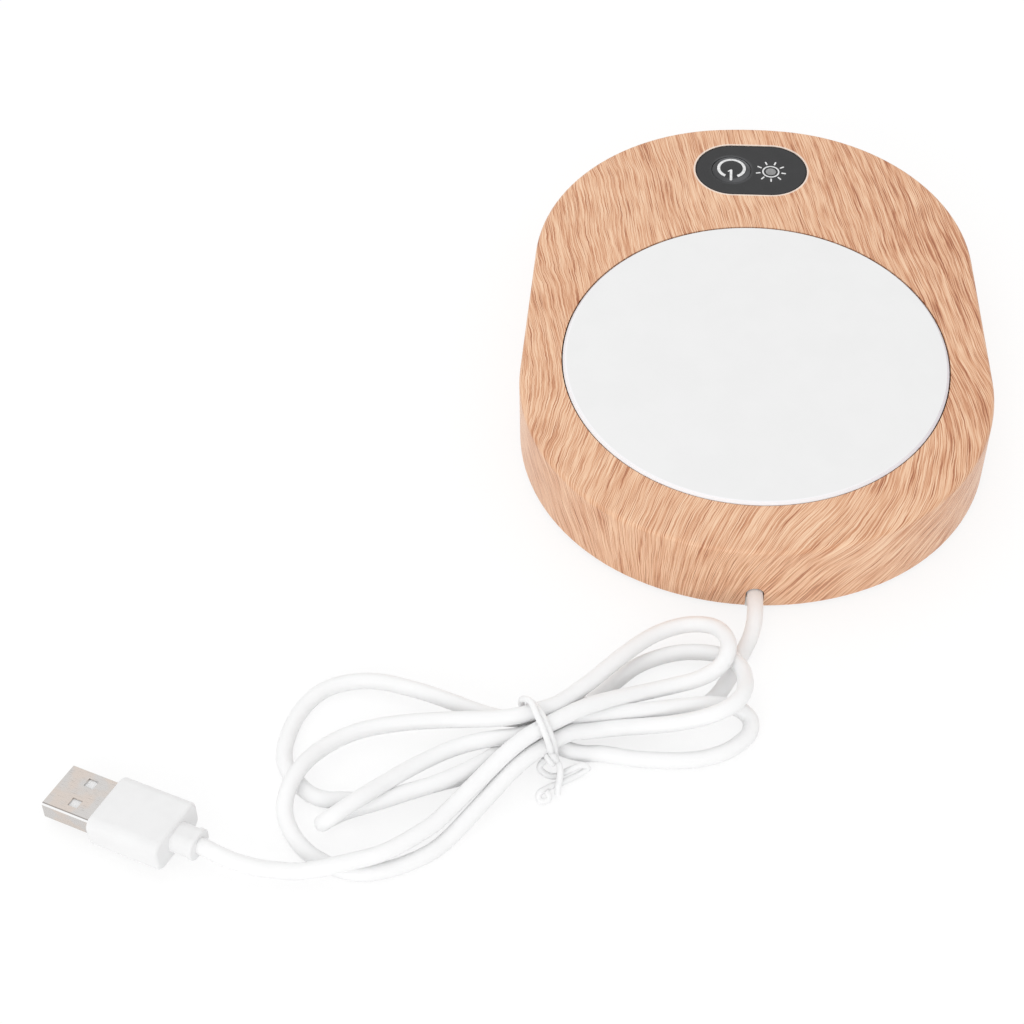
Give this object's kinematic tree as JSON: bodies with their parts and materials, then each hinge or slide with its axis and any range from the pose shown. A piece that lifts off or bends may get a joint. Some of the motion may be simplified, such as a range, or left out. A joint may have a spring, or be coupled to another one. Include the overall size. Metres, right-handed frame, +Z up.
{
  "type": "electric mug warmer",
  "caption": "Flat desk mug warmer: wood-grain housing, round heated plate, press key with lamp, and a tied white cord with a USB plug.",
  "frame": {"origin": "on the table top below the middle of the housing's plan; the rubber feet stand on z = 0", "axes": "+Z up, +Y from the cord end to the control panel, +X to the right seen from the cord end"},
  "size_m": [0.2042, 0.2193, 0.0203],
  "materials": {
    "wood_grain_housing": "printed wood grain, satin",
    "base_plastic": "moulded, fine spark texture",
    "plate_glass": "toughened glass, white behind, ground bevel",
    "silicone": "matt",
    "foot_rubber": "matt",
    "panel_film": "printed film, satin",
    "lamp_lens": "translucent grey",
    "steel": "bright zinc",
    "polyimide": "amber film",
    "foam": "white felt",
    "copper": "plated",
    "board_laminate": "green solder mask",
    "black_plastic": "moulded",
    "switch_button": "moulded",
    "tinned": "tinned",
    "lamp_white": "clear over white",
    "wire_cover": "coloured insulation",
    "cord_white": "soft white jacket",
    "tie_white": "coated wire",
    "plug_steel": "bright nickel",
    "plug_white": "smooth moulded"
  },
  "bodies": {
    "housing": {"base_cover": "base_plastic", "base_screws": "steel", "board_screws": "steel", "chip_resistors": "black_plastic", "circuit_board": "board_laminate", "clamp_screws": "steel", "control_overlay": "panel_film", "controller_chip": "black_plastic", "cord_clamp": "base_plastic", "cord_hank": "cord_white", "cord_housing_lead": "cord_white", "cord_inner_end": "cord_white", "cord_plug_lead": "cord_white", "cord_tie": "tie_white", "heater_film": "polyimide", "heater_retainer": "base_plastic", "heater_tabs": "copper", "heater_transistor": "black_plastic", "heater_wires": "wire_cover", "heating_plate": "plate_glass", "indicator_led": "lamp_white", "insulation_pad": "foam", "light_guide": "lamp_lens", "plate_seal": "silicone", "power_wires": "wire_cover", "retainer_screws": "steel", "rubber_feet": "foot_rubber", "sensor_wires": "wire_cover", "smoothing_capacitor": "tinned", "switch_body": "black_plastic", "switch_dome": "steel", "switch_legs": "tinned", "thermistor": "lamp_white", "upper_housing": "wood_grain_housing", "usb_contacts": "copper", "usb_overmold": "plug_white", "usb_shell": "plug_steel", "usb_tongue": "plug_white"},
    "power_key": {"power_key": "panel_film"},
    "switch_plunger": {"switch_plunger": "switch_button"}
  },
  "joints": [
    {"name": "power_key_press", "type": "slide", "parent": "housing", "child": "power_key", "axis": [0, 0, -1], "range_m": [0, 0.0003], "stiffness_N_per_m": 800},
    {"name": "switch_plunger_press", "type": "slide", "parent": "housing", "child": "switch_plunger", "axis": [0, 0, -1], "range_m": [0, 0.0003], "stiffness_N_per_m": 200, "deforming": ["switch_dome"]}
  ],
  "couplings": [
    {"joint": "switch_plunger_press", "follows": "power_key_press", "ratio": 1}
  ]
}
